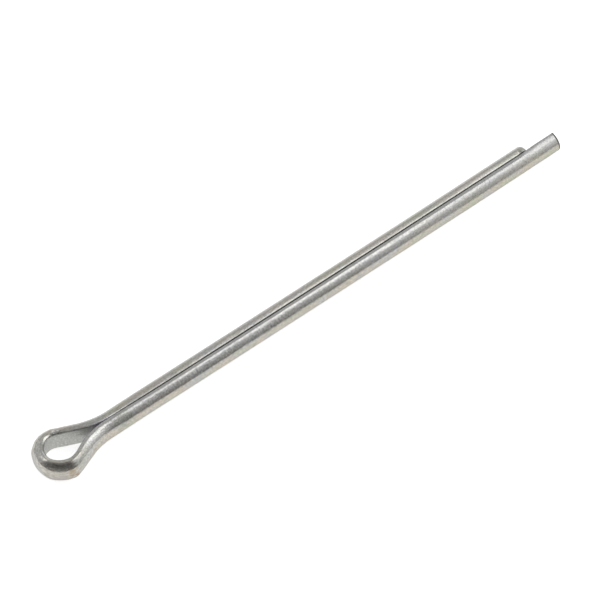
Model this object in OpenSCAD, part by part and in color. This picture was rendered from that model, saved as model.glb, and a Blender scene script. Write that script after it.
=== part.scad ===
// Cotter pin: one length of half-round wire, bent in a single plane into an eye and two legs.
// The wire's flat faces inwards all the way, round the hole of the eye and between the legs,
// so the closed legs make one round shank, split down its middle.
// X is the shank's axis, with the eye at -X and the ends at +X. The bends lie in the plane z = 0.
// x = 0 is the mouth of the eye, where the long leg has closed onto the axis.

/* [Wire] */
// Diameter of the round shank that the two half-round legs make together
shank_d = 2.75; // [2:0.05:4]
// Rounding of the wire's two long edges, between its flat and its round side
edge_r = 0.16; // [0.08:0.01:0.3]

/* [Legs] */
// Length of the short leg, from the mouth of the eye to its end
short_leg_l = 61.5; // [15:0.5:140]
// How far the long leg stands out past the short one
leg_step = 4.1; // [0.5:0.1:12]
// Split that is left between the flats of the closed legs
leg_gap = 0.15; // [0.02:0.01:0.4]
// Rounding of the long leg's sheared end
long_end_r = 0.2; // [0.1:0.05:0.8]
// Rounding of the short leg's sheared end
short_end_r = 0.5; // [0.1:0.05:0.8]

/* [Eye] */
// Width inside the eye at its widest
eye_w = 3.85; // [2.5:0.05:7]
// Flattened stretch of the crown, between its two rounded corners
crown_flat = 0.3; // [0.1:0.1:1.5]
// How far the middle of the eye lies off the shank's axis, on the short leg's side
eye_offset = 0.2; // [0:0.01:0.4]
// Angle at which the short leg's side of the eye closes onto the shank
short_flank_angle = 24.5; // [16:0.5:32]
// Angle at which the long leg's side of the eye closes onto the shank
long_flank_angle = 24.5; // [16:0.5:32]
// Radius of the bend from the eye into the short leg
short_neck_r = 10.5; // [2:0.25:11]
// Radius of the bend from the eye into the long leg
long_neck_r = 9; // [2:0.25:11]

/* [Hidden] */

round_fn = 96;
edge_fn = 32;
wire_r = shank_d / 2;
// Height of a leg's flat above the shank's axis
leg_y = leg_gap / 2;
corner_r = (eye_w - crown_flat) / 2;
// Reach of the helper shapes past the solid that they cut or bound
past = 2 * shank_d;
// The rounding circles stand this far over the faces that they round, so that they cross them
overrun = edge_r / 40;
// The straight flanks run this far into the bends at their ends, and are this much slimmer
weld = 0.03;
weld_inset = 0.003;

// Middle of each edge's rounding circle, and its angle seen from the middle of the round side
edge_x = edge_r - overrun;
edge_y = sqrt((wire_r - edge_r + overrun) ^ 2 - (edge_x + leg_y) ^ 2);
edge_angle = atan2(edge_y, edge_x + leg_y);

// Point at a distance and an angle from another point
function polar(from, r, angle) = from + r * [cos(angle), sin(angle)];

// Straight length of a flank, from the height that its corner leaves to the neck to lose
function flank_l(corner_y, angle, neck_r) =
    (corner_y + corner_r * cos(angle) - leg_y - neck_r * (1 - cos(angle))) / sin(angle);

// Length along X from the inside of the crown to where a leg has closed
function closing_l(corner_y, angle, neck_r) =
    corner_r * (1 + sin(angle)) + flank_l(corner_y, angle, neck_r) * cos(angle) + neck_r * sin(angle);

// Height of each corner's middle above the shank's axis, on its own side
short_corner_y = eye_offset + crown_flat / 2;
long_corner_y = crown_flat / 2 - eye_offset;
// Inside of the crown, so that the long leg closes at x = 0
crown_x = -closing_l(long_corner_y, long_flank_angle, long_neck_r);

// Middle of the wire's section: a strip across the flat that opens towards the round side
module section_core() {
    polygon([
        [-past, -edge_y],
        [edge_x, -edge_y],
        polar([-leg_y, 0], past, -edge_angle),
        [past, 0],
        polar([-leg_y, 0], past, edge_angle),
        [edge_x, edge_y],
        [-past, edge_y]
    ]);
}

// The wire's section: x runs outwards from the flat, and y along the flat. The round side is
// centred on the shank's axis, half the split behind the flat.
module wire_section(inset = 0) {
    intersection() {
        translate([-leg_y, 0])
            circle(r = wire_r - inset, $fn = round_fn);
        translate([inset, -past])
            square(2 * past);
        union() {
            section_core();
            for (side = [-1, 1])
                translate([edge_x, side * edge_y])
                    circle(r = edge_r - inset, $fn = edge_fn);
        }
    }
}

// Straight wire from a point of its flat, at an angle to X, with the round side to its left
module straight_wire(start, angle, length, inset = 0) {
    translate([start[0], start[1], 0])
        rotate([0, 0, angle])
            rotate([90, 0, 90])
                linear_extrude(length)
                    wire_section(inset);
}

// Wire bent about a point, its flat at radius r and its round side away from the point, or
// towards it if inward is set
module bent_wire(centre, r, start, sweep, inward = false) {
    translate([centre[0], centre[1], 0])
        rotate_extrude(angle = sweep, start = start, $fn = round_fn)
            translate([r, 0])
                mirror([inward ? 1 : 0, 0])
                    wire_section();
}

// What a rounded end loses: the ring outside a quarter round about the shank's axis
module end_rounding(x, r) {
    translate([x - r + overrun, 0, 0])
        rotate([0, 90, 0])
            rotate_extrude($fn = round_fn)
                translate([wire_r - r + overrun, 0])
                    difference() {
                        square(past);
                        circle(r = r, $fn = edge_fn);
                    }
}

// One half of the pin: half the crown, a corner, the flank, the neck and the leg
module half_pin(corner_y, angle, neck_r, leg_end, end_r) {
    corner = [crown_x + corner_r, corner_y];
    neck = [crown_x + closing_l(corner_y, angle, neck_r), leg_y + neck_r];

    straight_wire([crown_x, corner_y - crown_flat / 2], 90, crown_flat / 2);
    bent_wire(corner, corner_r, 180, -90 - angle);
    straight_wire(
        polar(polar(corner, corner_r, 90 - angle), weld, 180 - angle),
        -angle,
        flank_l(corner_y, angle, neck_r) + 2 * weld,
        weld_inset
    );
    bent_wire(neck, neck_r, -90, -angle, inward = true);
    difference() {
        straight_wire([neck[0], leg_y], 0, leg_end - neck[0]);
        end_rounding(leg_end, end_r);
    }
}

module cotter_pin() {
    color([0.74, 0.74, 0.72]) {
        half_pin(short_corner_y, short_flank_angle, short_neck_r, short_leg_l, short_end_r);
        mirror([0, 1, 0])
            half_pin(long_corner_y, long_flank_angle, long_neck_r, short_leg_l + leg_step, long_end_r);
    }
}

cotter_pin();
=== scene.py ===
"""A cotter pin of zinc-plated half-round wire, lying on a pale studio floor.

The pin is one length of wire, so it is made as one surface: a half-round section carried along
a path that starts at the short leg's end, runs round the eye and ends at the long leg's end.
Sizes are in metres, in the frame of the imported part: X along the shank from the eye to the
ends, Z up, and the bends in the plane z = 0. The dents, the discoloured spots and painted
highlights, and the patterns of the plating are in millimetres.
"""

import logging
import math
from dataclasses import dataclass, field, replace
from enum import Enum
from functools import reduce
from typing import Any

import bpy
import numpy as np
from mathutils import Matrix, Vector
from numpy.typing import NDArray

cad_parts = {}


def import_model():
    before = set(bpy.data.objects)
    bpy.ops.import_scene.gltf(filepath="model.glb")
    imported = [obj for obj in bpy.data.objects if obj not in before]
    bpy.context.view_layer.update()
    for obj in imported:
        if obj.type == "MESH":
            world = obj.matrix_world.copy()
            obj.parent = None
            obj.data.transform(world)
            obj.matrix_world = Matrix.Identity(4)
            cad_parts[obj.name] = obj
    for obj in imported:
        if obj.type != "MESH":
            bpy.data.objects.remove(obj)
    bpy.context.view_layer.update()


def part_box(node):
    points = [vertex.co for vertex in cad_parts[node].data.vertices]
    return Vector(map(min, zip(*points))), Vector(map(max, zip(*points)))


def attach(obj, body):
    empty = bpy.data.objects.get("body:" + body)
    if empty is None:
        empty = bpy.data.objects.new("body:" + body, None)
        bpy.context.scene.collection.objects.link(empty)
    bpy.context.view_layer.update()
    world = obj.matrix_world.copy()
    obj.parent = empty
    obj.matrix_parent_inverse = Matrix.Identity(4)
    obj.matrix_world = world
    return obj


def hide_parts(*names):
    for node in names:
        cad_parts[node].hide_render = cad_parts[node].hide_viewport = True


Array = NDArray[np.float64]
Span = tuple[float, float]
Fade = tuple[float, ...]
Triple = tuple[float, float, float]
Colour = tuple[float, float, float, float]

MM = 0.001
MICRON = 0.000001
NODE = "cotter_pin"
BODY = "root"
UP = np.array([0.0, 0.0, 1.0])

log = logging.getLogger("cotter_pin")


def smooth_step(value: Array, low: float, high: float) -> Array:
    """Rise from 0 to 1 between two values, as 3t^2 - 2t^3 of the share t of the way.

    Args:
        value: Where to evaluate it.
        low: Where the rise starts.
        high: Where it ends.

    Returns:
        The risen share at each value.
    """
    share = np.clip((value - low) / (high - low), 0.0, 1.0)
    return share * share * (3.0 - 2.0 * share)


def hump(value: Array, rise: Span, fall: Span) -> Array:
    """Smooth step over the rise, times one less the smooth step over the fall."""
    return smooth_step(value, *rise) * (1.0 - smooth_step(value, *fall))


def blend(start: Any, end: Any, share: Array) -> Array:
    """Start plus a share of the difference between end and start."""
    return start + (end - start) * share


def run_length(line: Array) -> Array:
    """Length along a line at each of its points: the sum of the steps that lead to it."""
    return np.concatenate([[0.0], np.cumsum(np.linalg.norm(np.diff(line, axis=0), axis=1))])


class Leg(Enum):
    """The two legs of the pin, by the side of the shank's axis that they lie on."""

    SHORT = 1.0
    LONG = -1.0


@dataclass(frozen=True)
class Half:
    """Sizes of one half of the pin, from the middle of the crown to the end of its leg."""

    leg: Leg
    end_x: float
    flank_angle: float
    neck_r: float
    bow: float
    spread: float


@dataclass(frozen=True)
class Path:
    """The line that the flat of the wire follows, with what changes along it."""

    place: Array
    """Length along the path of each station."""
    point: Array
    """X and Y of the flat at each station."""
    heading: Array
    """Direction of travel at each station, a unit vector in the plane z = 0."""

    @property
    def outward(self) -> Array:
        """Direction away from the hole and from the other leg: the right of the travel."""
        return np.stack([self.heading[:, 1], -self.heading[:, 0]], axis=1)

    @property
    def length(self) -> float:
        """Length of the whole path."""
        return float(self.place[-1])

    @property
    def crown(self) -> float:
        """Where along the path the middle of the crown lies."""
        return float(self.place[np.argmin(self.point[:, 0])])


@dataclass
class WirePath:
    """Works out the path of the wire's flat from the sizes of the eye and the two halves."""

    eye_w: float = 3.648 * MM
    crown_flat: float = 0.28 * MM
    eye_offset: float = 0.203 * MM
    crown_x: float = -7.650 * MM
    split: float = 0.04 * MM
    soften: float = 0.22 * MM
    """Width of the bell curve that runs the bends into each other."""
    fine_step: float = 0.02 * MM
    """Spacing of the stations while the line is softened."""
    eye_step: float = 0.075 * MM
    leg_step: float = 0.17 * MM
    eye_to_leg: Span = (0.0, 4.0 * MM)
    """Where along X the spacing goes over from the eye's to the legs'."""
    arc_points: int = 60
    leg_points: int = 120
    short: Half = Half(
        leg=Leg.SHORT,
        end_x=61.55 * MM,
        flank_angle=math.radians(25.13),
        neck_r=10.10 * MM,
        bow=-0.10 * MM,
        spread=0.07 * MM,
    )
    long: Half = Half(
        leg=Leg.LONG,
        end_x=65.585 * MM,
        flank_angle=math.radians(23.42),
        neck_r=9.28 * MM,
        bow=0.14 * MM,
        spread=-0.10 * MM,
    )

    def arc(self, centre: Array, radius: float, start: float, sweep: float) -> Array:
        """Points on an arc: the centre plus the radius turned through the angles of the sweep.

        Args:
            centre: Middle of the arc.
            radius: Its radius.
            start: Angle of its first point.
            sweep: Angle from its first point to its last.

        Returns:
            Array of points x 2.
        """
        angle = start + sweep * np.linspace(0.0, 1.0, self.arc_points)[:, None]
        return centre + radius * np.hstack([np.cos(angle), np.sin(angle)])

    def half(self, half: Half) -> Array:
        """Flat's line from the middle of the crown to the leg's end: corner, flank, neck, leg.

        The flank is as long as its corner and its neck leave it: its height falls from the
        corner's to the neck's at the flank's angle. The leg bows outwards as a parabola
        and spreads evenly towards its end.

        Args:
            half: Which half, with its sizes.

        Returns:
            Points of the line, from the crown outwards.
        """
        side = half.leg.value
        angle = half.flank_angle
        corner_r = (self.eye_w - self.crown_flat) / 2
        leg_y = self.split / 2
        corner_y = self.crown_flat / 2 + side * self.eye_offset
        neck_fall = half.neck_r * (1 - math.cos(angle))
        fall = corner_y + corner_r * math.cos(angle) - leg_y - neck_fall
        flank = fall / math.sin(angle)
        corner = np.array([self.crown_x + corner_r, corner_y])
        turn = self.arc(corner, corner_r, math.pi, -math.pi / 2 - angle)
        flank_end = turn[-1] + flank * np.array([math.cos(angle), -math.sin(angle)])
        neck_x = flank_end[0] + half.neck_r * math.sin(angle)
        neck_middle = np.array([neck_x, leg_y + half.neck_r])
        neck = self.arc(neck_middle, half.neck_r, -math.pi / 2 - angle, angle)
        share = np.linspace(0.0, 1.0, self.leg_points)[1:]
        lift = 4 * half.bow * share * (1 - share) + half.spread * share
        leg = np.stack([neck_x + share * (half.end_x - neck_x), leg_y + lift], axis=1)
        line = np.concatenate([[[self.crown_x, side * self.eye_offset]], turn, neck, leg])
        return line * np.array([1.0, side])

    @staticmethod
    def spaced(line: Array, place: Array) -> Array:
        """Points of a line at the given lengths along it."""
        gone = run_length(line)
        return np.stack([np.interp(place, gone, line[:, k]) for k in (0, 1)], axis=1)

    def softened(self, line: Array) -> Array:
        """The line with its changes of bend run into each other.

        Each point becomes the mean of its neighbours, weighted by a bell curve of their
        distance. The ends are first drawn out straight, so that they stay where they are.

        Args:
            line: Evenly spaced points of the line.

        Returns:
            As many points of the softened line.
        """
        reach = int(4 * self.soften / self.fine_step)
        bell = np.exp(-0.5 * (np.arange(-reach, reach + 1) * self.fine_step / self.soften) ** 2)
        bell /= bell.sum()
        before = line[0] - np.arange(reach, 0, -1)[:, None] * (line[1] - line[0])
        after = line[-1] + np.arange(1, reach + 1)[:, None] * (line[-1] - line[-2])
        drawn = np.concatenate([before, line, after])
        return np.stack([np.convolve(drawn[:, k], bell, "valid") for k in (0, 1)], axis=1)

    def build(self) -> Path:
        """The whole path, from the short leg's end round the eye to the long leg's end.

        Stations lie closer together in the eye than along the legs: their spacing follows
        the distance to the eye.

        Returns:
            The path at its final stations.
        """
        short = self.half(self.short)[::-1]
        line = np.concatenate([short, self.half(self.long)[1:]])
        total = float(np.linalg.norm(np.diff(line, axis=0), axis=1).sum())
        fine = np.linspace(0.0, total, int(total / self.fine_step))
        line = self.softened(self.spaced(line, fine))
        gone = run_length(line)
        step = blend(self.eye_step, self.leg_step, smooth_step(line[:, 0], *self.eye_to_leg))
        count = np.concatenate([[0.0], np.cumsum(np.diff(gone) / step[1:])])
        stations = np.linspace(0.0, count[-1], int(count[-1]) + 1)
        place = np.interp(stations, count, gone)
        point = self.spaced(line, place)
        heading = np.gradient(point, place, axis=0)
        heading /= np.linalg.norm(heading, axis=1)[:, None]
        return Path(place, point, heading)


@dataclass(frozen=True)
class Edge:
    """Shape of the wire's long edges: a rounded corner, a narrow land and a rounded ridge."""

    corner_r: Array
    """Radius between the flat and the land, at each station."""
    land: Array
    """Width of the land at each station."""
    ridge_r: Array
    """Radius between the land and the round side, at each station."""
    thicker: Array
    """How much thicker the wire is than its plain section, as a factor."""
    taller: Array
    """How much taller it is, as a factor."""
    fuller: Array
    """How far its round side stands out past the arc, away from the edges."""
    below: Array
    """How far it stands out at its lower quarter alone."""
    tilt: Array
    """Angle by which the land leans towards the flat."""


@dataclass
class WireSection:
    """The wire's half-round section: a flat, two edges and a round side."""

    round_r: float = 1.397 * MM
    flat_front: float = 0.02 * MM
    """How far the flat lies in front of the middle of the round side."""
    fuller_from: Span = (math.radians(14.0), math.radians(42.0))
    below_from: Span = (math.radians(5.0), math.radians(38.0))
    below_to: Span = (math.radians(44.0), math.radians(72.0))
    flat_points: int = 9
    corner_points: int = 7
    land_points: int = 3
    ridge_points: int = 6
    round_points: int = 34

    @staticmethod
    def shares(count: int) -> Array:
        """Even shares of a way as one row, from 0 up to the last but one."""
        return np.linspace(0.0, 1.0, count)[None, :-1]

    def arc(self, x: Array, z: Array, radius: Array, turn: tuple[Any, Any], count: int) -> Array:
        """Points on an arc at each station, without its last one.

        Each point is the middle plus the radius turned through a share of the way.

        Args:
            x: Middle of the arc outwards.
            z: Middle of the arc upwards.
            radius: Radius of the arc.
            turn: Its first and its last angle.
            count: How many points it has with its last one.

        Returns:
            Array of stations x points x 2.
        """
        angle = blend(*turn, self.shares(count))
        return np.stack([x + radius * np.cos(angle), z + radius * np.sin(angle)], axis=2)

    def outline(self, edge: Edge) -> Array:
        """Section at each station, counter-clockwise from the middle of the flat.

        The flat lies at 0 and the round side is an arc whose middle is behind the flat. The
        land leans towards the flat by its tilt. The corner's arc touches the flat and the
        land, and the ridge's arc touches the land and the round side from within, so its
        middle is the round radius less its own from the middle of the round side.

        Args:
            edge: Shape of the edges.

        Returns:
            Array of stations x points x 2, outwards and upwards.
        """
        corner, land, ridge = (a[:, None] for a in (edge.corner_r, edge.land, edge.ridge_r))
        lean = math.pi / 2 + edge.tilt[:, None]
        across, up = np.cos(lean), np.sin(lean)
        ridge_x = corner + land * up + (corner - ridge) * across
        ridge_z = np.sqrt((self.round_r - ridge) ** 2 - (ridge_x + self.flat_front) ** 2)
        corner_z = ridge_z + land * across - (corner - ridge) * up
        turn = np.arctan2(ridge_z, ridge_x + self.flat_front)
        rise = self.shares(self.flat_points) * corner_z
        flat = np.stack([np.zeros_like(rise), rise], axis=2)
        bend = self.arc(corner, corner_z, corner, (math.pi, lean), self.corner_points)
        start = np.stack([corner + corner * across, corner_z + corner * up], axis=2)
        end = np.stack([ridge_x + ridge * across, ridge_z + ridge * up], axis=2)
        level = blend(start, end, self.shares(self.land_points)[:, :, None])
        crest = self.arc(ridge_x, ridge_z, ridge, (lean, turn), self.ridge_points)
        slope = turn - 2 * turn * self.shares(self.round_points)
        fuller = edge.fuller[:, None] * (1.0 - smooth_step(np.abs(slope), *self.fuller_from))
        fuller = fuller + edge.below[:, None] * hump(-slope, self.below_from, self.below_to)
        side_x = np.full_like(turn, -self.flat_front)
        side_r = self.round_r + fuller
        side = self.arc(side_x, np.zeros_like(turn), side_r, (turn, -turn), self.round_points)
        mirror = np.array([1.0, -1.0])
        upper = np.concatenate([flat, bend, level, crest], axis=1)
        lower = upper[:, 1:][:, ::-1] * mirror
        ring = np.concatenate([upper, side, side[:, :1] * mirror, lower], axis=1)
        ring = np.concatenate([ring[:, :1], ring[:, :0:-1]], axis=1)
        return ring * np.stack([edge.thicker, edge.taller], axis=1)[:, None]


@dataclass(frozen=True)
class Dent:
    """A shallow push that the wire took while it was bent, in millimetres.

    The surface round a point moves by the push, and less and less with the distance.
    """

    x: float
    y: float
    z: float
    reach: float
    push_x: float
    push_y: float


DENTS = (
    Dent(-7.25, -1.38, 1.33, 0.45, 0.040, 0.049),
    Dent(-6.70, -1.70, 1.33, 0.45, 0.040, 0.049),
    Dent(-4.90, -1.45, 1.25, 0.80, 0.013, -0.066),
    Dent(-6.10, -2.72, -0.95, 0.50, 0.020, -0.130),
    Dent(-6.95, -2.65, -0.80, 0.50, -0.010, -0.050),
    Dent(-8.60, -1.45, -0.70, 0.60, -0.045, -0.030),
    Dent(-7.87, -0.14, 1.32, 0.50, -0.080, -0.008),
    Dent(-8.92, 1.09, 0.27, 0.60, 0.062, -0.050),
    Dent(-8.30, 2.10, 0.60, 0.60, -0.050, 0.070),
    Dent(-7.30, 2.90, 0.85, 0.70, -0.010, 0.090),
    Dent(-6.30, 3.05, 1.00, 0.70, 0.010, 0.090),
    Dent(-5.25, 2.85, 0.95, 0.60, 0.030, 0.110),
    Dent(-4.10, 2.40, 0.95, 0.90, 0.030, 0.063),
    Dent(-2.90, 1.85, 0.95, 0.90, 0.028, 0.060),
    Dent(-1.70, 1.40, 0.95, 0.90, 0.022, 0.050),
    Dent(-0.50, 1.10, 0.95, 0.90, 0.015, 0.035),
    Dent(-5.01, -2.88, -0.12, 0.50, -0.005, 0.030),
    Dent(-4.62, 1.65, -1.04, 0.80, -0.020, -0.025),
    Dent(-3.00, -2.30, -0.80, 0.80, -0.020, -0.060),
)


@dataclass
class PinBody:
    """The pin as one closed surface, with its path, section, dents and sheared ends.

    The wire's shape has one set of sizes in the eye and one along the legs. The eye's flank on
    the long leg's side, a bevelled stretch of the crown, and the long leg's free end with the
    short leg's last millimetre have their own. Spans say where one set goes over into the next:
    along X, or along the wire from the middle of the crown.
    """

    path: Path
    section: WireSection = field(default_factory=WireSection)
    dents: tuple[Dent, ...] = DENTS

    eye_to_leg: Span = (-2.0 * MM, 6.0 * MM)
    flank_rise: Span = (3.2 * MM, 4.6 * MM)
    flank_fall: Span = (8.0 * MM, 13.0 * MM)
    bevel_rise: Span = (-4.8 * MM, -3.4 * MM)
    bevel_fall: Span = (-0.4 * MM, 1.0 * MM)
    free_edges: Span = (60.4 * MM, 61.6 * MM)
    free_form: Span = (61.45 * MM, 62.9 * MM)

    corner_eye: float = 0.14 * MM
    corner_bevel: float = 0.24 * MM
    corner_leg: float = 0.15 * MM
    corner_free: float = 0.05 * MM
    land_eye: float = 0.30 * MM
    land_flank: float = 0.205 * MM
    land_bevel: float = 0.15 * MM
    land_leg: float = 0.32 * MM
    land_free: float = 0.10 * MM
    ridge_eye: float = 0.20 * MM
    ridge_leg: float = 0.06 * MM
    tilt: float = math.radians(15.0)
    tilt_bevel: float = math.radians(26.0)

    thicker_eye: float = 1.0
    thicker_short: float = 1.05
    thicker_long: Span = (0.985, 1.07)
    thicker_span: Span = (26.0 * MM, 60.0 * MM)
    taller_eye: float = 1.03
    taller_leg: float = 0.995
    taller_free: float = 0.966
    fuller_leg: float = 0.022 * MM
    below_eye: float = 0.055 * MM
    free_flat: float = 0.12 * MM
    """How far the flat of the free end stands out past that of the closed leg."""
    free_flat_reach: float = 1.2 * MM
    """How deep into the section that goes on."""

    twist_rise: Span = (1.0 * MM, 9.0 * MM)
    twist_change: Span = (44.0 * MM, 62.0 * MM)
    short_twist: Span = (math.radians(1.4), math.radians(3.4))
    long_twist: Span = (math.radians(2.4), math.radians(3.5))
    free_twist: float = math.radians(4.0)

    wave: float = 0.005 * MM
    wave_seed: int = 7
    wave_count: int = 14
    wave_lengths: Span = (2.5 * MM, 16.0 * MM)
    wave_most_turns: int = 2
    wave_middle: float = 0.5 * MM
    """How far out from the flat the middle lies that the waves go round."""
    wave_calm: float = 0.65
    """Share of the waves that is lost along the legs."""
    wave_calm_span: Span = (24.0 * MM, 42.0 * MM)

    short_end: float = 0.30 * MM
    long_end: float = 0.16 * MM
    end_reach: float = 4.0
    """Over how many times an end's rounding the stations move back to make room for it."""
    cap_rings: int = 9
    face_rings: tuple[float, ...] = (0.55, 0.2, 0.03)
    """Sizes of the rings on the sheared faces, as shares of the whole face."""
    face_run: float = 0.3 * MM
    """How far the place along the straightened wire runs on over a sheared face."""
    face_middle: float = 0.6 * MM

    def edges(self) -> Edge:
        """Shape of the edges at each station, blended from set to set over their spans.

        The land is narrower on the flank, on the bevel, where it leans more, and at the free
        end. The long leg grows thicker along its length.

        Returns:
            The shape at each station.
        """
        x = self.path.point[:, 0]
        past = self.path.place - self.path.crown
        leg = smooth_step(x, *self.eye_to_leg)
        free = smooth_step(x, *self.free_edges)
        flank = hump(past, self.flank_rise, self.flank_fall)
        bevel = hump(past, self.bevel_rise, self.bevel_fall)
        plain = np.maximum(np.maximum(leg, flank), bevel)
        corner = blend(self.corner_eye, self.corner_leg, leg)
        corner = blend(corner, self.corner_bevel, bevel)
        land = blend(self.land_eye, self.land_leg, leg)
        land = blend(land, self.land_flank, flank)
        land = blend(land, self.land_bevel, bevel)
        thick = blend(*self.thicker_long, smooth_step(x, *self.thicker_span))
        thick = np.where(past < 0.0, self.thicker_short, thick)
        tall = blend(self.taller_eye, self.taller_leg, plain)
        return Edge(
            corner_r=blend(corner, self.corner_free, free),
            land=blend(land, self.land_free, free),
            ridge_r=blend(self.ridge_eye, self.ridge_leg, leg),
            thicker=blend(self.thicker_eye, thick, leg),
            taller=blend(tall, self.taller_free, free),
            fuller=self.fuller_leg * leg,
            below=self.below_eye * (1.0 - leg),
            tilt=blend(self.tilt, self.tilt_bevel, bevel),
        )

    def unevenness(self, outline: Array) -> Array:
        """Small swelling of the wire, as a sum of waves along it and around it.

        Args:
            outline: Section at each station.

        Returns:
            Array of stations x points: how far the surface stands out.
        """
        rng = np.random.default_rng(self.wave_seed)
        along = self.path.place[:, None, None]
        across = outline[:, :, 0] - self.wave_middle
        around = np.arctan2(outline[:, :, 1], across)[:, :, None]
        length = rng.uniform(*self.wave_lengths, self.wave_count)
        turns = rng.integers(0, self.wave_most_turns + 1, self.wave_count)
        phase = rng.uniform(0.0, 2 * math.pi, self.wave_count)
        size = self.wave * np.sqrt(length / self.wave_lengths[1])
        waves = size * np.sin(2 * math.pi * along / length + turns * around + phase)
        calm = 1.0 - self.wave_calm * smooth_step(self.path.point[:, 0], *self.wave_calm_span)
        return calm[:, None] * waves.sum(axis=2) / math.sqrt(self.wave_count)

    def surface(self, outline: Array) -> Array:
        """The wire's surface between its ends.

        Each point is the path's point plus the section's, outwards and upwards, moved by the
        unevenness along the section's normal and by each dent. At the free end the flat moves
        inwards, and the rest of the section less and less with its distance from the flat.

        Args:
            outline: Section at each station.

        Returns:
            Array of stations x points x 3.
        """
        level = np.zeros((len(self.path.place), 1))
        out = np.concatenate([self.path.outward, level], axis=1)
        base = np.concatenate([self.path.point, level], axis=1)
        surface = base[:, None] + outline[:, :, :1] * out[:, None] + outline[:, :, 1:] * UP
        step = np.roll(outline, -1, axis=1) - np.roll(outline, 1, axis=1)
        step /= np.linalg.norm(step, axis=2, keepdims=True)
        normal = step[:, :, 1:] * out[:, None] - step[:, :, :1] * UP
        surface += self.unevenness(outline)[:, :, None] * normal
        inward = np.clip(1.0 - outline[:, :, 0] / self.free_flat_reach, 0.0, 1.0)
        free = smooth_step(self.path.point[:, 0], *self.free_form)
        surface -= (self.free_flat * free[:, None] * inward)[:, :, None] * out[:, None]
        place = np.array([[d.x, d.y, d.z] for d in self.dents]) * MM
        reach = np.array([d.reach for d in self.dents]) * MM
        push = np.array([[d.push_x, d.push_y, 0.0] for d in self.dents]) * MM
        away = np.linalg.norm(surface[:, :, None] - place, axis=3) / reach
        surface += np.exp(-(away**2)) @ push
        return self.twisted(surface)

    def twisted(self, surface: Array) -> Array:
        """The surface with each leg turned by small angles about the shank's axis.

        The turn grows from nothing at the neck to the leg's first angle, goes over into its
        second towards the end, and the free end adds its own. Y and Z are turned by it.

        Args:
            surface: Array of stations x points x 3.

        Returns:
            The turned surface, in the same form.
        """
        x, y, z = (surface[:, :, axis] for axis in range(3))
        short = (self.path.place < self.path.crown)[:, None]
        first, second = (np.where(short, a, b) for a, b in zip(self.short_twist, self.long_twist))
        turn = blend(first, second, smooth_step(x, *self.twist_change))
        turn = turn * smooth_step(x, *self.twist_rise)
        turn = turn + self.free_twist * smooth_step(x, *self.free_form) * ~short
        turned_y = y * np.cos(turn) - z * np.sin(turn)
        turned_z = y * np.sin(turn) + z * np.cos(turn)
        return np.stack([x, turned_y, turned_z], axis=2)

    def drawn_back(self, away: Array, rounding: float) -> Array:
        """How far stations move back to make room for an end's rounding, less with distance."""
        return rounding * np.clip(1.0 - away / (self.end_reach * rounding), 0.0, 1.0)

    def cap(self, ring: Array, forward: Array, rounding: float) -> Array:
        """Rings that close a sheared end: a quarter round, then flat to the middle.

        The ring shrinks towards its middle by one less the cosine of the turn, and moves
        forward by its sine, which gives the quarter round.

        Args:
            ring: Last ring of the wire, points x 3.
            forward: Unit vector along the wire, out of its end.
            rounding: Radius of the quarter round.

        Returns:
            Array of rings x points x 3, from the wire to the middle of the end.
        """
        middle = ring.mean(axis=0)
        turn = np.linspace(0.0, math.pi / 2, self.cap_rings)[1:]
        half = np.linalg.norm(ring - middle, axis=1).mean()
        shrink = np.concatenate([1 - rounding / half * (1 - np.cos(turn)), self.face_rings])
        flat = np.full(len(self.face_rings), rounding)
        ahead = np.concatenate([rounding * np.sin(turn), flat])
        return middle + shrink[:, None, None] * (ring - middle) + ahead[:, None, None] * forward

    def build(self) -> bpy.types.Object:
        """Makes the mesh: the wire's grid of rings, with a cap at each end.

        Returns:
            The object, with its place in its mesh, a UV map and its straightened place.
        """
        outline = self.section.outline(self.edges())
        surface = self.surface(outline)
        start = np.append(-self.path.heading[0], 0.0)
        finish = np.append(self.path.heading[-1], 0.0)
        gone = self.path.place - self.path.place[0]
        surface -= self.drawn_back(gone, self.short_end)[:, None, None] * start
        surface -= self.drawn_back(gone[-1] - gone, self.long_end)[:, None, None] * finish
        first = self.cap(surface[0], start, self.short_end)[::-1]
        last = self.cap(surface[-1], finish, self.long_end)
        grid = np.concatenate([first, surface, last])
        middles = np.array([first[0].mean(axis=0), last[-1].mean(axis=0)])
        verts = np.concatenate([grid.reshape(-1, 3), middles])
        mesh = bpy.data.meshes.new("wire")
        mesh.from_pydata(verts.tolist(), [], self.faces(*grid.shape[:2]))
        self.lay_uv(mesh, grid)
        self.lay_straight(mesh, outline, first, last)
        mesh.polygons.foreach_set("use_smooth", np.ones(len(mesh.polygons), bool))
        mesh.update()
        pin = bpy.data.objects.new("pin_wire", mesh)
        bpy.context.scene.collection.objects.link(pin)
        return pin

    @staticmethod
    def faces(rings: int, points: int) -> list[list[int]]:
        """Faces of the grid, and of the fan that closes each of its two ends.

        The corners of a face of the grid are the points j and j + 1 of the rings i and i + 1.
        The middles of the two fans are numbered after the points of the grid.

        Args:
            rings: How many rings the grid has.
            points: How many points a ring has.

        Returns:
            Vertex numbers of each face: the grid, the first fan and the last fan.
        """
        i, j = np.meshgrid(np.arange(rings - 1), np.arange(points), indexing="ij")
        here, after = i * points, (i + 1) * points
        k = (j + 1) % points
        quads = np.stack([here + j, after + j, after + k, here + k], axis=2).reshape(-1, 4)
        around = np.arange(points)
        beside = (around + 1) % points
        base = (rings - 1) * points
        hub = np.full(points, rings * points)
        first = np.stack([hub, around, beside], axis=1)
        last = np.stack([hub + 1, base + beside, base + around], axis=1)
        return quads.tolist() + first.tolist() + last.tolist()

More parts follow.
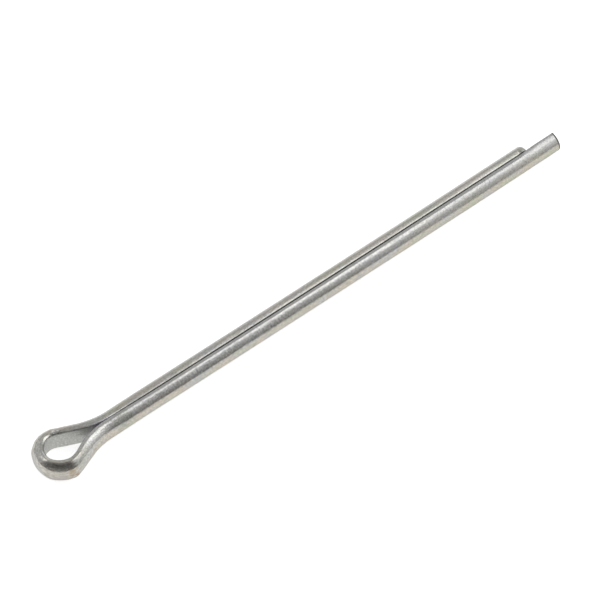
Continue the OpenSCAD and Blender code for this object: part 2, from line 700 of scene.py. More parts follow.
    @staticmethod
    def end_place(section: Array, rings: Array, place: float, run: float) -> Array:
        """Straightened place of the rings of a sheared end.

        The section shrinks towards its middle with the size of the rings, and the place
        along runs on by what they have shrunk.

        Args:
            section: Section at the end's station.
            rings: Rings of the end, rings x points x 3.
            place: Length along the path of the station.
            run: How far the place runs on to the middle of the face.

        Returns:
            Array of rings x points x 3.
        """
        size = np.linalg.norm(rings - rings.mean(axis=1, keepdims=True), axis=2).mean(axis=1)
        share = (size / size.max())[:, None, None]
        centre = section.mean(axis=0)
        flat = centre + share * (section - centre)
        along = np.broadcast_to(place + run * (1 - share), (*flat.shape[:2], 1))
        return np.concatenate([along, flat], axis=2)

    def lay_straight(
        self, mesh: bpy.types.Mesh, outline: Array, first: Array, last: Array
    ) -> None:
        """Stores each point's place on the straightened wire, in millimetres.

        The place is how far along the wire the point's station is, and its place in the
        section. On the sheared ends the section shrinks and the place along runs on.

        Args:
            mesh: The pin's mesh.
            outline: Section at each station.
            first: Rings of the short leg's end.
            last: Rings of the long leg's end.
        """
        along = self.path.place
        stations = np.broadcast_to(along[:, None, None], (*outline.shape[:2], 1))
        body = np.concatenate([stations, outline], axis=2)
        before = self.end_place(outline[0], first, float(along[0]), -self.face_run)
        after = self.end_place(outline[-1], last, float(along[-1]), self.face_run)
        hubs = np.array([
            [along[0] - self.face_run, self.face_middle, 0.0],
            [along[-1] + self.face_run, self.face_middle, 0.0],
        ])
        place = np.concatenate([part.reshape(-1, 3) for part in (before, body, after, hubs)])
        layer = mesh.attributes.new("straight", "FLOAT_VECTOR", "POINT")
        layer.data.foreach_set("vector", (place / MM).astype(np.float32).ravel())

    @staticmethod
    def lay_uv(mesh: bpy.types.Mesh, grid: Array) -> None:
        """Lays the UV map: the share of the length along the wire and of the way round it.

        Args:
            mesh: The pin's mesh, whose faces are the grid's and then the fans'.
            grid: Rings x points x 3.
        """
        rings, points = grid.shape[:2]
        along = run_length(grid[:, points // 2])
        along /= along[-1]
        ring = grid[rings // 4]
        step = np.linalg.norm(np.roll(ring, -1, axis=0) - ring, axis=1)
        around = np.concatenate([[0.0], np.cumsum(step)]) / step.sum()
        i, j = np.meshgrid(np.arange(rings - 1), np.arange(points), indexing="ij")
        u = along[np.stack([i, i + 1, i + 1, i], axis=2)]
        v = around[np.stack([j, j, j + 1, j + 1], axis=2)]
        body = np.stack([u, v], axis=3).reshape(-1, 2)
        fan = np.stack([np.full(points, 0.5), around[:-1], around[1:]], axis=1)
        first = np.stack([np.zeros((points, 3)), fan], axis=2).reshape(-1, 2)
        last = np.stack([np.ones((points, 3)), fan[:, [0, 2, 1]]], axis=2).reshape(-1, 2)
        uv = mesh.uv_layers.new(name="wire")
        uv.data.foreach_set("uv", np.concatenate([body, first, last]).astype(np.float32).ravel())


@dataclass(frozen=True)
class Noise:
    """Smooth noise from 0 to 1 on the straightened wire.

    Its grain has a size along the wire, outwards and upwards, in millimetres.
    """

    size: Triple
    detail: float
    seed: float


@dataclass(frozen=True)
class Flecks(Noise):
    """Noise that goes from one number to another as it rises from low to high.

    The fade gives low, high and the two numbers, which are 0 and 1 if they are left out.
    """

    fade: Fade


@dataclass(frozen=True)
class Ripple(Noise):
    """Noise about a middle of 0, with a height from its lowest to its highest."""

    height: float


class NodeTree:
    """Short ways to add and link shader nodes."""

    MIX_FIRST = 6
    MIX_SECOND = 7
    MIX_RESULT = 2
    """Numbers of the colour sockets on a Mix node."""

    def __init__(self, tree: bpy.types.NodeTree) -> None:
        """Starts from an empty tree."""
        self.tree = tree
        tree.nodes.clear()

    def add(self, kind: str, **settings: Any) -> bpy.types.Node:
        """Adds a node and sets its properties.

        Args:
            kind: Blender's name for the kind of node.
            **settings: Values of its properties.

        Returns:
            The node.
        """
        node = self.tree.nodes.new(kind)
        for name, value in settings.items():
            setattr(node, name, value)
        return node

    def link(self, source: Any, target: Any) -> None:
        """Links an output to an input.

        Args:
            source: Output socket, or a node for its first output.
            target: Input socket.
        """
        if isinstance(source, bpy.types.Node):
            source = source.outputs[0]
        self.tree.links.new(source, target)

    def put(self, value: Any, target: Any) -> None:
        """Links a socket or node to an input, or sets the input to a plain value.

        Args:
            value: Socket, node or plain value.
            target: Input socket.
        """
        if isinstance(value, (bpy.types.Node, bpy.types.NodeSocket)):
            self.link(value, target)
        else:
            target.default_value = value

    def pair(self, kind: str, operation: str, first: Any, second: Any) -> bpy.types.Node:
        """Adds a node that works on two values.

        Args:
            kind: Blender's name for the kind of node.
            operation: What it does with them.
            first: First value, socket or node.
            second: Second value, socket or node.

        Returns:
            The node.
        """
        node = self.add(kind, operation=operation)
        self.put(first, node.inputs[0])
        self.put(second, node.inputs[1])
        return node

    def math(self, operation: str, first: Any, second: Any = 0.0) -> bpy.types.Node:
        """Adds a math node on two numbers."""
        return self.pair("ShaderNodeMath", operation, first, second)

    def vectors(self, operation: str, first: Any, second: Any) -> bpy.types.Node:
        """Adds a vector math node on two vectors."""
        return self.pair("ShaderNodeVectorMath", operation, first, second)

    def total(self, *parts: Any) -> Any:
        """Adds up any number of values."""
        return reduce(lambda first, second: self.math("ADD", first, second), parts)

    def product(self, *parts: Any) -> Any:
        """Multiplies any number of values."""
        return reduce(lambda first, second: self.math("MULTIPLY", first, second), parts)

    def greatest(self, *parts: Any) -> Any:
        """The greatest of any number of values."""
        return reduce(lambda first, second: self.math("MAXIMUM", first, second), parts)

    def fade(
        self, value: Any, low: float, high: float, start: float = 0.0, end: float = 1.0
    ) -> Any:
        """Goes smoothly from one number to another as a value rises from low to high.

        Args:
            value: The value.
            low: Where the change starts.
            high: Where it ends. If it is below low, the change runs as the value falls.
            start: Number before the change.
            end: Number after it.

        Returns:
            The output.
        """
        node = self.add("ShaderNodeMapRange", interpolation_type="SMOOTHSTEP")
        self.put(value, node.inputs["Value"])
        node.inputs["From Min"].default_value = low
        node.inputs["From Max"].default_value = high
        node.inputs["To Min"].default_value = start
        node.inputs["To Max"].default_value = end
        return node.outputs["Result"]

    def within(self, value: Any, rise: Fade, fall: Fade) -> Any:
        """Product of two fades of a value: one where a stretch starts, one where it ends."""
        return self.product(self.fade(value, *rise), self.fade(value, *fall))

    def noise(self, place: Any, noise: Noise) -> Any:
        """Adds a smooth noise: the place is divided by the size of the grain.

        Args:
            place: Place on the straightened wire.
            noise: The grain's size, detail and seed.

        Returns:
            The output, from 0 to 1.
        """
        node = self.add("ShaderNodeTexNoise", noise_dimensions="4D")
        grain = self.vectors("DIVIDE", place, noise.size).outputs["Vector"]
        self.link(grain, node.inputs["Vector"])
        node.inputs["W"].default_value = noise.seed
        node.inputs["Scale"].default_value = 1.0
        node.inputs["Detail"].default_value = noise.detail
        return node.outputs["Fac"]

    def flecks(self, place: Any, flecks: Flecks) -> Any:
        """Noise put through its own fade."""
        return self.fade(self.noise(place, flecks), *flecks.fade)

    def ripple(self, place: Any, ripple: Ripple) -> Any:
        """Noise brought to a middle of 0 and multiplied by its height."""
        return self.product(self.math("SUBTRACT", self.noise(place, ripple), 0.5), ripple.height)

    def mix_value(self, share: Any, first: Any, second: Any) -> Any:
        """One number going over into another: the rest of the first plus the share of the second.

        Args:
            share: Share of the second, from 0 to 1.
            first: First number.
            second: Second number.

        Returns:
            The mixed number.
        """
        rest = self.math("SUBTRACT", 1.0, share)
        return self.total(self.product(rest, first), self.product(share, second))

    def mix(self, share: Any, first: Any, second: Any) -> Any:
        """One colour going over into another.

        Args:
            share: Share of the second, from 0 to 1.
            first: First colour.
            second: Second colour.

        Returns:
            The mixed colour.
        """
        node = self.add("ShaderNodeMix", data_type="RGBA")
        self.put(share, node.inputs["Factor"])
        self.put(first, node.inputs[self.MIX_FIRST])
        self.put(second, node.inputs[self.MIX_SECOND])
        return node.outputs[self.MIX_RESULT]


@dataclass(frozen=True)
class WirePlace:
    """What the patterns of the plating follow, as outputs of the material's nodes."""

    straight: Any
    """Place on the straightened wire, in millimetres: along, outwards and upwards."""
    spot: Any
    """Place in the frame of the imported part, in metres."""
    along: Any
    out: Any
    high: Any
    from_crown: Any
    """Distance along the wire from the middle of the crown."""
    long_side: Any
    """1 on the long leg's half of the wire."""
    flat: Any
    """1 on the wire's flat."""


@dataclass(frozen=True)
class Tints:
    """The plating's own colour: grey, with slow warm, green and cool tints and fine flecks."""

    plain: Colour = (0.43, 0.43, 0.425, 1.0)
    warm: Colour = (0.48, 0.435, 0.375, 1.0)
    green: Colour = (0.43, 0.44, 0.35, 1.0)
    cool: Colour = (0.41, 0.415, 0.44, 1.0)
    inner: Colour = (0.46, 0.465, 0.445, 1.0)
    throat: Colour = (0.72, 0.70, 0.74, 1.0)
    warm_clouds: Flecks = Flecks((3.0, 1.6, 1.6), 3.0, 1.0, (0.36, 0.62))
    green_clouds: Flecks = Flecks((4.5, 1.2, 1.2), 3.0, 2.0, (0.46, 0.66))
    cool_clouds: Flecks = Flecks((6.0, 0.9, 0.9), 3.0, 3.0, (0.42, 0.62))
    warm_flecks: Flecks = Flecks((0.32, 0.22, 0.22), 3.0, 14.0, (0.46, 0.62, 0.0, 0.5))
    green_flecks: Flecks = Flecks((0.36, 0.24, 0.24), 3.0, 15.0, (0.48, 0.64, 0.0, 0.5))
    cool_share: float = 0.3
    outwards: Fade = (0.75, 1.2, 0.25, 1.0)
    upwards: Fade = (0.4, 0.9, 1.0, 0.35)
    short_share: float = 0.5
    """Share of the warm and green tints that the short leg's half has all over."""
    throat_rise: Fade = (6.5, 8.5)
    throat_fall: Fade = (13.0, 10.5)
    inner_at: Fade = (0.16, 0.02)

    def laid(self, nodes: NodeTree, at: WirePlace) -> Any:
        """Colour of the clean plating.

        On the long leg's half the warm and green tints are strongest along the middle of the
        round side and fade upwards, and on the other half they are even. The flat has a colour
        of its own, which is paler in the throat of the eye.

        Args:
            nodes: The material's nodes.
            at: What the patterns follow.

        Returns:
            The colour.
        """
        rounding = nodes.product(
            nodes.fade(at.out, *self.outwards), nodes.fade(at.high, *self.upwards)
        )
        rounding = nodes.mix_value(at.long_side, self.short_share, rounding)
        cools = nodes.product(nodes.flecks(at.straight, self.cool_clouds), self.cool_share)
        colour = nodes.mix(cools, self.plain, self.cool)
        for pattern, tint in (
            (self.warm_clouds, self.warm),
            (self.green_clouds, self.green),
            (self.warm_flecks, self.warm),
            (self.green_flecks, self.green),
        ):
            share = nodes.product(nodes.flecks(at.straight, pattern), rounding)
            colour = nodes.mix(share, colour, tint)
        throat = nodes.within(at.from_crown, self.throat_rise, self.throat_fall)
        inner = nodes.mix(throat, self.inner, self.throat)
        return nodes.mix(nodes.fade(at.out, *self.inner_at), colour, inner)


@dataclass(frozen=True)
class StainAndPaintedLight:
    """A small patch of colour on the plating, in millimetres: most are discoloured spots, and the
    pale ones are painted highlights.
    """

    x: float
    y: float
    z: float
    reach: float
    strength: float
    colour: Colour
    speckled: float = 0.7


STAINS_AND_PAINTED_LIGHT = (
    StainAndPaintedLight(-5.95, -2.92, -0.45, 0.42, 0.9, (0.33, 0.20, 0.11, 1.0)),
    StainAndPaintedLight(-6.75, -2.80, -0.30, 0.50, 0.45, (0.42, 0.31, 0.19, 1.0)),
    StainAndPaintedLight(-7.60, -2.00, -0.70, 2.40, 0.75, (0.36, 0.335, 0.30, 1.0)),
    # A darker grey patch over the crown's right side, where its highlight from the key softbox
    # falls.
    StainAndPaintedLight(-5.35, -2.30, 1.15, 0.85, 0.75, (0.25, 0.25, 0.24, 1.0)),
    StainAndPaintedLight(1.80, -1.05, 0.85, 1.60, 0.55, (0.25, 0.26, 0.21, 1.0)),
    StainAndPaintedLight(-8.90, -0.85, -0.20, 0.25, 0.6, (0.26, 0.27, 0.18, 1.0)),
    StainAndPaintedLight(-7.75, -1.50, 1.15, 0.16, 0.6, (0.20, 0.22, 0.12, 1.0)),
    StainAndPaintedLight(-7.15, -2.10, 1.10, 0.14, 0.4, (0.25, 0.20, 0.22, 1.0)),
    # Painted highlights: two pale patches on the far flank's rim, where the inner rim shows a
    # bright line.
    StainAndPaintedLight(-5.22, 2.14, 1.28, 0.36, 0.8, (0.88, 0.88, 0.86, 1.0), 0.2),
    StainAndPaintedLight(-4.85, 2.06, 1.32, 0.24, 0.8, (0.80, 0.80, 0.80, 1.0), 0.2),
    StainAndPaintedLight(-6.50, -2.90, 0.15, 0.80, 0.75, (0.33, 0.25, 0.17, 1.0)),
    StainAndPaintedLight(-8.80, -1.06, -0.08, 0.24, 0.8, (0.27, 0.28, 0.17, 1.0)),
    StainAndPaintedLight(65.3, -1.25, -0.60, 0.22, 0.8, (0.12, 0.10, 0.09, 1.0)),
)


@dataclass(frozen=True)
class BlemishesAndPaintedLight:
    """What has marked the plating's colour, with painted light among it: mottle, sooty specks,
    painted shade in the cross marks, discoloured spots and painted highlights.
    """

    # Dark colour of the specks, which is also the painted shade of the cross marks.
    soot_and_painted_shade: Colour = (0.16, 0.16, 0.15, 1.0)
    mottle: Ripple = Ripple((0.22, 0.16, 0.16), 3.0, 4.0, 1.0)
    mottle_flat: Fade = (0.0, 1.0, 1.2, 1.4)
    specks: Flecks = Flecks((0.12, 0.07, 0.07), 2.0, 5.0, (0.64, 0.74, 0.0, 0.55))
    # Cross marks painted darker high on the round side: painted shade where the marks break up
    # the highlight.
    cross_mark_painted_shade: Flecks = Flecks((0.085, 0.5, 0.5), 2.0, 16.0, (0.44, 0.58))
    cross_mark_shade_strength: float = 0.45
    cross_mark_shade_upwards: Fade = (0.35, 0.65)
    cross_mark_shade_outwards: Fade = (0.55, 0.85)
    cross_mark_shade_rise: Fade = (9.0, 12.0)
    cross_mark_shade_fall: Fade = (50.0, 38.0)
    stains_and_painted_light: tuple[StainAndPaintedLight, ...] = STAINS_AND_PAINTED_LIGHT
    stain_and_light_edge: Ripple = Ripple((0.3, 0.2, 0.2), 3.0, 20.0, 2.2)
    # Roughness of a patch's edge. Its height is a share of the reach.
    """Roughness of a stain's edge. Its height is a share of the reach."""
    stain_and_light_core: float = 0.3
    # How far out a patch has its whole strength, as a share of its reach.
    """How far out a stain has its whole strength, as a share of its reach."""
    speckle: Noise = Noise((0.24, 0.17, 0.17), 3.0, 40.0)
    speckle_at: Span = (0.38, 0.58)

    def laid(self, nodes: NodeTree, colour: Any, at: WirePlace) -> Any:
        """Colour with the mottle, the sooty specks, the painted shade of the cross marks, the
        discoloured spots and the painted highlights over it.

        Args:
            nodes: The material's nodes.
            colour: Colour of the clean plating.
            at: What the patterns follow.

        Returns:
            The colour.
        """
        mottle = nodes.product(
            nodes.ripple(at.straight, self.mottle), nodes.fade(at.flat, *self.mottle_flat)
        )
        shade = nodes.add("ShaderNodeVectorMath", operation="SCALE")
        nodes.link(colour, shade.inputs[0])
        nodes.link(nodes.total(mottle, 1.0), shade.inputs["Scale"])
        specks = nodes.flecks(at.straight, self.specks)
        colour = nodes.mix(specks, shade.outputs["Vector"], self.soot_and_painted_shade)
        # Painted shade: the cross marks darken the colour where the highlight lies, high on the
        # round side of the legs.
        share = nodes.product(
            nodes.fade(at.high, *self.cross_mark_shade_upwards),
            nodes.fade(at.out, *self.cross_mark_shade_outwards),
            nodes.within(at.from_crown, self.cross_mark_shade_rise, self.cross_mark_shade_fall),
            self.cross_mark_shade_strength,
        )
        marks = nodes.product(nodes.flecks(at.straight, self.cross_mark_painted_shade), share)
        return self.with_stains_and_painted_light(nodes, nodes.mix(marks, colour, self.soot_and_painted_shade), at)

    def with_stains_and_painted_light(self, nodes: NodeTree, colour: Any, at: WirePlace) -> Any:
        """Colour with the discoloured spots and the painted highlights over it.

        A patch's share falls off with the distance from its middle, which a ripple lengthens
        or shortens so that the edge is rough, and specks break it up.

        Args:
            nodes: The material's nodes.
            colour: Colour under the patches.
            at: What the patterns follow.

        Returns:
            The colour.
        """
        speckle = nodes.noise(at.straight, self.speckle)
        for number, stain_and_light in enumerate(self.stains_and_painted_light):
            reach = stain_and_light.reach * MM
            middle = (stain_and_light.x * MM, stain_and_light.y * MM, stain_and_light.z * MM)
            away = nodes.vectors("DISTANCE", at.spot, middle).outputs["Value"]
            edge = replace(
                self.stain_and_light_edge,
                seed=self.stain_and_light_edge.seed + number,
                height=self.stain_and_light_edge.height * stain_and_light.reach * MM,
            )
            away = nodes.total(away, nodes.ripple(at.straight, edge))
            core = self.stain_and_light_core * stain_and_light.reach * MM
            share = nodes.fade(away, reach, core, 0.0, stain_and_light.strength)
            broken = nodes.fade(speckle, *self.speckle_at, 1.0 - stain_and_light.speckled, 1.0)
            colour = nodes.mix(nodes.product(share, broken), colour, stain_and_light.colour)
        return colour


@dataclass(frozen=True)
class Relief:
    """Fine height of the plated surface, in micrometres."""

    long_marks: Ripple = Ripple((14.0, 0.30, 0.30), 3.0, 6.0, 8.0)
    fine_marks: Ripple = Ripple((5.0, 0.10, 0.10), 3.0, 7.0, 5.0)
    fine_marks_rise: Fade = (5.0, 9.0, 0.3, 1.0)
    calm: Fade = (28.0, 44.0, 1.0, 0.5)
    """How the marks and the grain calm down towards the ends of the legs."""
    facets: Ripple = Ripple((1.6, 0.8, 0.8), 2.0, 8.0, 20.0)
    facets_rise: Fade = (2.5, 9.0, 0.5, 1.0)
    facets_fall: Fade = (28.0, 44.0, 1.0, 0.1)
    across: Ripple = Ripple((0.13, 1.2, 1.2), 2.0, 9.0, 9.0)
    across_rise: Fade = (3.0, 4.5)
    across_fall: Fade = (10.0, 7.5, 0.2)
    chatter: Ripple = Ripple((0.10, 0.6, 0.6), 2.0, 12.0, 22.0)
    chatter_clouds: Flecks = Flecks((2.5, 1.5, 1.5), 2.0, 13.0, (0.35, 0.6, 0.45, 1.0))
    chatter_rise: Fade = (9.0, 14.0)
    chatter_fall: Fade = (62.0, 44.0, 0.15)
    chatter_outwards: Fade = (0.35, 0.85, 0.3, 1.0)
    grain: Ripple = Ripple((0.20, 0.13, 0.13), 3.0, 10.0, 9.0)
    grain_flat: Fade = (0.0, 1.0, 1.0, 1.8)
    pits: Flecks = Flecks((0.16, 0.10, 0.10), 2.0, 5.0, (0.62, 0.76, 0.0, -9.0))

    def height(self, nodes: NodeTree, at: WirePlace) -> Any:
        """Sum of draw marks, facets, ripples across the flanks, chatter marks, grain and pits.

        Args:
            nodes: The material's nodes.
            at: What the patterns follow.

        Returns:
            The height.
        """
        place, from_crown = at.straight, at.from_crown
        calm = nodes.fade(from_crown, *self.calm)
        long_marks = nodes.product(nodes.ripple(place, self.long_marks), calm)
        fine_marks = nodes.product(
            nodes.ripple(place, self.fine_marks),
            nodes.fade(from_crown, *self.fine_marks_rise),
            calm,
        )
        facets = nodes.product(
            nodes.ripple(place, self.facets),
            nodes.fade(from_crown, *self.facets_fall),
            nodes.fade(from_crown, *self.facets_rise),
        )
        across = nodes.product(
            nodes.ripple(place, self.across),
            nodes.within(from_crown, self.across_rise, self.across_fall),
        )
        chatter = nodes.product(
            nodes.ripple(place, self.chatter),
            nodes.flecks(place, self.chatter_clouds),
            nodes.within(from_crown, self.chatter_rise, self.chatter_fall),
            nodes.fade(at.out, *self.chatter_outwards),
        )
        grain = nodes.product(
            nodes.ripple(place, self.grain), nodes.fade(at.flat, *self.grain_flat), calm
        )
        pits = nodes.flecks(place, self.pits)
        return nodes.total(long_marks, fine_marks, facets, across, chatter, grain, pits)


@dataclass(frozen=True)
class ZincFinish:
    """Bright zinc plating on drawn wire, with bare sheared ends."""

    tints: Tints = Tints()
    blemishes_and_painted_light: BlemishesAndPaintedLight = BlemishesAndPaintedLight()
    relief: Relief = Relief()
    long_rim: Colour = (0.12, 0.12, 0.11, 1.0)
    # Painted highlight: the short end's rim is pale for the bright facet at that end.
    short_rim_painted_highlight: Colour = (0.62, 0.62, 0.62, 1.0)
    face: Colour = (0.34, 0.34, 0.33, 1.0)
    grazing: Colour = (0.8, 0.8, 0.8, 1.0)
    flat_at: Span = (0.10, 0.02)
    long_side_from: Span = (3.0, 6.0)
    """Where past the middle of the crown the long leg's half sets in."""
    rim_at: tuple[Span, Span] = ((-0.02, -0.08), (-0.18, -0.05))
    """Where the rim of each sheared end sets in, past the wire's start and its length."""
    face_at: tuple[Span, Span] = ((-0.10, -0.16), (0.06, 0.12))
    dullness: Noise = Noise((1.2, 0.35, 0.35), 4.0, 11.0)
    dull_mean: float = 0.5
    dull_evens: Fade = (24.0, 40.0, 0.0, 0.75)
    """How the dullness evens out to its mean along the legs."""
    gloss: Fade = (0.35, 0.70, 0.13, 0.26)
    satin: Fade = (42.0, 58.0, 0.0, 0.09)
    """Extra roughness of the long leg towards its end."""
    flat_rougher: float = 0.20
    rim_rougher: float = 0.25

    def followed(self, nodes: NodeTree, crown: float) -> WirePlace:
        """Reads what the patterns follow.

        The piece's own "straight" attribute gives the place on the wire as if it were pulled
        straight: how far along, outwards and upwards, in millimetres.

        Args:
            nodes: The material's nodes.
            crown: Where along the wire the middle of the crown lies, in millimetres.

        Returns:
            The outputs.
        """
        straight = nodes.add("ShaderNodeAttribute", attribute_name="straight").outputs["Vector"]
        parts = nodes.add("ShaderNodeSeparateXYZ")
        nodes.link(straight, parts.inputs[0])
        along, out, high = (parts.outputs[axis] for axis in "XYZ")
        rise, full = self.long_side_from
        return WirePlace(
            straight=straight,
            spot=nodes.add("ShaderNodeTexCoord").outputs["Object"],
            along=along,
            out=out,
            high=high,
            from_crown=nodes.math("ABSOLUTE", nodes.math("SUBTRACT", along, crown)),
            long_side=nodes.fade(along, crown + rise, crown + full),
            flat=nodes.fade(out, *self.flat_at),
        )

    @staticmethod
    def past_ends(nodes: NodeTree, along: Any, length: float, ends: tuple[Span, Span]) -> Any:
        """1 past a mark near each end of the wire.

        Args:
            nodes: The material's nodes.
            along: Place along the wire, in millimetres.
            length: Length of the wire, in millimetres.
            ends: Where it sets in, from the wire's start and from its length.

        Returns:
            The share.
        """
        short, long = ends
        return nodes.greatest(
            nodes.fade(along, *short), nodes.fade(along, length + long[0], length + long[1])
        )

    def roughness(self, nodes: NodeTree, at: WirePlace, rims: Any) -> Any:
        """Roughness of the plating: patchy near the eye and even along the legs.

        The flat, the sheared ends and the long leg towards its end are rougher.

        Args:
            nodes: The material's nodes.
            at: What the patterns follow.
            rims: 1 on the sheared ends.

        Returns:
            The roughness.
        """
        evens = nodes.fade(at.from_crown, *self.dull_evens)
        dull = nodes.mix_value(evens, nodes.noise(at.straight, self.dullness), self.dull_mean)
        return nodes.total(
            nodes.fade(dull, *self.gloss),
            nodes.product(at.long_side, nodes.fade(at.from_crown, *self.satin)),
            nodes.product(at.flat, self.flat_rougher),
            nodes.product(rims, self.rim_rougher),
        )

    def material(self, length: float, crown: float) -> bpy.types.Material:
        """Builds the material.

        Args:
            length: Length of the wire in metres.
            crown: Where on that length the middle of the crown lies.

        Returns:
            The material.
        """
        material = bpy.data.materials.new("zinc_plating")
        material.use_nodes = True
        nodes = NodeTree(material.node_tree)
        at = self.followed(nodes, crown / MM)
        rims = self.past_ends(nodes, at.along, length / MM, self.rim_at)
        faces = self.past_ends(nodes, at.along, length / MM, self.face_at)
        # The short end's rim carries a painted highlight, the long end's rim a dark edge line.
        rim = nodes.mix(at.long_side, self.short_rim_painted_highlight, self.long_rim)
        colour = self.blemishes_and_painted_light.laid(nodes, self.tints.laid(nodes, at), at)
        colour = nodes.mix(rims, colour, nodes.mix(faces, rim, self.face))
        shader = nodes.add("ShaderNodeBsdfPrincipled")
        nodes.link(colour, shader.inputs["Base Color"])
        shader.inputs["Metallic"].default_value = 1.0
        shader.inputs["Specular Tint"].default_value = self.grazing
        nodes.link(self.roughness(nodes, at, rims), shader.inputs["Roughness"])
        bump = nodes.add("ShaderNodeBump")
        nodes.link(self.relief.height(nodes, at), bump.inputs["Height"])
        bump.inputs["Distance"].default_value = MICRON
        nodes.link(bump, shader.inputs["Normal"])
        nodes.link(shader, nodes.add("ShaderNodeOutputMaterial").inputs["Surface"])
        return material


@dataclass(frozen=True)
class Patch:
    """A wide soft patch of light, or of shade if its strength is negative, in the room.

    It has its strength within the inner angle, in degrees, and none past the outer one.
    """

    azimuth: float
    elevation: float
    inner: float
    outer: float
    strength: float


@dataclass(frozen=True)
class SoftBox:
    """A rectangular soft lamp."""

    name: str
    azimuth: float
    elevation: float
    distance: float
    width: float
    height: float
    brightness: float


@dataclass
class Studio:
    """The floor, the light and the camera."""

    floor_half: float = 3.0
    floor_colour: Colour = (0.8, 0.8, 0.8, 1.0)
    floor_glow: float = 0.76
    room: float = 0.41
    darkest: float = 0.1
    patches: tuple[Patch, ...] = (
        Patch(-5.0, 36.0, 56.0, 61.0, -0.17),
        Patch(20.0, 74.0, 20.0, 36.0, -0.07),
        Patch(98.0, 46.0, 13.0, 31.0, 0.38),
        Patch(89.0, 40.0, 4.0, 17.0, 0.36),
        Patch(164.0, 18.0, 4.0, 18.0, 0.50),
        Patch(86.0, 28.0, 8.0, 32.0, 0.20),
        Patch(-96.0, 47.0, 1.0, 14.0, 1.60),
        Patch(92.0, 25.0, 14.0, 38.0, 0.54),
        Patch(-104.0, 20.0, 18.0, 44.0, 0.19),
        Patch(-170.0, 14.0, 26.0, 52.0, 0.16),
        Patch(-16.0, -30.0, 34.0, 76.0, 0.26),
        Patch(-165.0, 19.0, 62.0, 88.0, 0.34),
        Patch(158.0, 86.0, 8.0, 34.0, 0.10),
    )
    boxes: tuple[SoftBox, ...] = (
        SoftBox("key_softbox", 96.0, 58.0, 0.40, 0.18, 0.17, 1.35),
    )
    target: Triple = (0.03, 0.0, 0.0)
    turn: float = math.radians(39.148)
    elevation: float = math.radians(50.141)
    roll: float = math.radians(0.696)
    distance: float = 0.45599
    pixels_per_metre: float = 8906.0
    target_pixel: Span = (315.928, 291.78)
    image_width: float = 600.0
    sensor: float = 36.0
    clip: Span = (0.01, 20.0)

    @property
    def level(self) -> Vector:
        """The camera's right, before it is rolled."""
        return Vector((math.cos(self.turn), -math.sin(self.turn), 0.0))

    @property
    def ahead(self) -> Vector:
        """The way the camera faces, level with the floor."""
        return Vector((math.sin(self.turn), math.cos(self.turn), 0.0))

    def camera(self) -> bpy.types.Object:
        """Places the camera at its angle and distance, and turns it so that the pin is framed.

        The camera looks at the target from the distance, rolled by a small angle, and is then
        turned so that the target falls on its own pixel: the offset from the middle of the
        image, over the lens's length in pixels, is the tangent of the turn.

        Returns:
            The camera.
        """
        level, ahead, above = self.level, self.ahead, Vector(UP)
        up = ahead * math.sin(self.elevation) + above * math.cos(self.elevation)
        back = above * math.sin(self.elevation) - ahead * math.cos(self.elevation)
        right = level * math.cos(self.roll) - up * math.sin(self.roll)
        upward = level * math.sin(self.roll) + up * math.cos(self.roll)
        lens_pixels = self.pixels_per_metre * self.distance
        middle = self.image_width / 2
        shift_x = (self.target_pixel[0] - middle) / lens_pixels
        shift_y = (self.target_pixel[1] - middle) / lens_pixels
        view = (-back - right * shift_x + upward * shift_y).normalized()
        side = view.cross(upward).normalized()
        top = side.cross(view)
        frame = Matrix((side, top, -view)).transposed().to_4x4()
        frame.translation = Vector(self.target) + back * self.distance
        data = bpy.data.cameras.new("camera")
        data.sensor_width = self.sensor
        data.lens = lens_pixels / self.image_width * self.sensor
        data.clip_start, data.clip_end = self.clip
        camera = bpy.data.objects.new("camera", data)
        camera.matrix_world = frame
        bpy.context.scene.collection.objects.link(camera)
        bpy.context.scene.camera = camera
        return camera

    def floor(self, height: float) -> bpy.types.Object:
        """A wide flat floor, with a glow that only the camera and reflections see.

        Args:
            height: Z of the floor.

        Returns:
            The floor.
        """
        h = self.floor_half
        mesh = bpy.data.meshes.new("floor")
        corners = [(-h, -h, height), (h, -h, height), (h, h, height), (-h, h, height)]
        mesh.from_pydata(corners, [], [(0, 1, 2, 3)])
        floor = bpy.data.objects.new("floor", mesh)
        bpy.context.scene.collection.objects.link(floor)
        material = bpy.data.materials.new("floor_white")
        material.use_nodes = True
        nodes = NodeTree(material.node_tree)
        diffuse = nodes.add("ShaderNodeBsdfDiffuse")
        diffuse.inputs["Color"].default_value = self.floor_colour
        rays = nodes.add("ShaderNodeLightPath").outputs
        seen = nodes.greatest(
            rays["Is Camera Ray"], rays["Is Glossy Ray"], rays["Is Transmission Ray"]
        )
        glow = nodes.add("ShaderNodeEmission")
        nodes.link(nodes.product(seen, self.floor_glow), glow.inputs["Strength"])
        both = nodes.add("ShaderNodeAddShader")
        nodes.link(diffuse, both.inputs[0])
        nodes.link(glow, both.inputs[1])
        nodes.link(both, nodes.add("ShaderNodeOutputMaterial").inputs["Surface"])
        mesh.materials.append(material)
        return floor

    def towards(self, azimuth: float, elevation: float) -> Vector:
        """Direction in the room as the camera stands in it.

        Args:
            azimuth: Degrees from the camera's own side of the pin, to its right.
            elevation: Degrees above the floor.

        Returns:
            A unit vector.
        """
        turned, raised = math.radians(azimuth), math.radians(elevation)
        flat = self.level * math.sin(turned) + self.ahead * -math.cos(turned)
        return flat * math.cos(raised) + Vector((0.0, 0.0, math.sin(raised)))

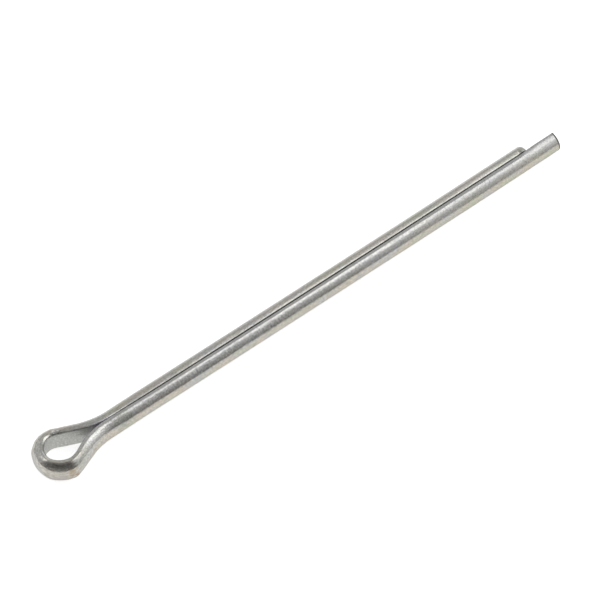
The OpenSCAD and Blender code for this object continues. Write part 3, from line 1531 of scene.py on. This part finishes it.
    def world(self) -> bpy.types.World:
        """The light from all round: an even grey room with wide soft patches of light and shade.

        Each patch adds its strength within an inner angle of its direction, and less and less
        of it up to an outer angle: the dot product of the two directions gives the angle.

        Returns:
            The world.
        """
        world = bpy.data.worlds.new("studio")
        world.use_nodes = True
        nodes = NodeTree(world.node_tree)
        place = nodes.add("ShaderNodeTexCoord").outputs["Generated"]
        total: Any = self.room
        for patch in self.patches:
            middle = self.towards(patch.azimuth, patch.elevation)
            cosine = nodes.vectors("DOT_PRODUCT", place, middle).outputs["Value"]
            outer, inner = (math.cos(math.radians(a)) for a in (patch.outer, patch.inner))
            total = nodes.total(nodes.fade(cosine, outer, inner, 0.0, patch.strength), total)
        sky = nodes.add("ShaderNodeBackground")
        nodes.link(nodes.greatest(total, self.darkest), sky.inputs["Strength"])
        nodes.link(sky, nodes.add("ShaderNodeOutputWorld").inputs["Surface"])
        bpy.context.scene.world = world
        return world

    def lamp(self, box: SoftBox) -> bpy.types.Object:
        """A soft box that faces the middle of the pin, as bright all over as it is set.

        An even rectangle of a brightness gives off pi times its area times that brightness.

        Args:
            box: Its direction, size and brightness.

        Returns:
            The lamp.
        """
        data = bpy.data.lights.new(box.name, "AREA")
        data.shape = "RECTANGLE"
        data.size = box.width
        data.size_y = box.height
        data.energy = math.pi * box.width * box.height * box.brightness
        ray = self.towards(box.azimuth, box.elevation)
        lamp = bpy.data.objects.new(box.name, data)
        turn = ray.to_track_quat("Z", "Y").to_matrix().to_4x4()
        turn.translation = Vector(self.target) + ray * box.distance
        lamp.matrix_world = turn
        bpy.context.scene.collection.objects.link(lamp)
        return lamp


def main() -> None:
    """Builds the pin and its studio in order."""
    logging.basicConfig(level=logging.INFO, format="%(name)s: %(message)s")
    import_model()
    low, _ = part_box(NODE)
    path = WirePath().build()
    pin = PinBody(path).build()
    pin.data.materials.append(ZincFinish().material(path.length, path.crown))
    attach(pin, BODY)
    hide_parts(NODE)
    faces = len(pin.data.polygons)
    log.info("%s: %d faces, wire %.1f mm long", pin.name, faces, path.length / MM)
    studio = Studio()
    studio.floor(low.z)
    studio.world()
    for box in studio.boxes:
        studio.lamp(box)
    studio.camera()
    bpy.context.scene.view_settings.view_transform = "Standard"
    log.info("studio: floor, world and camera")


if __name__ == "__main__":
    main()
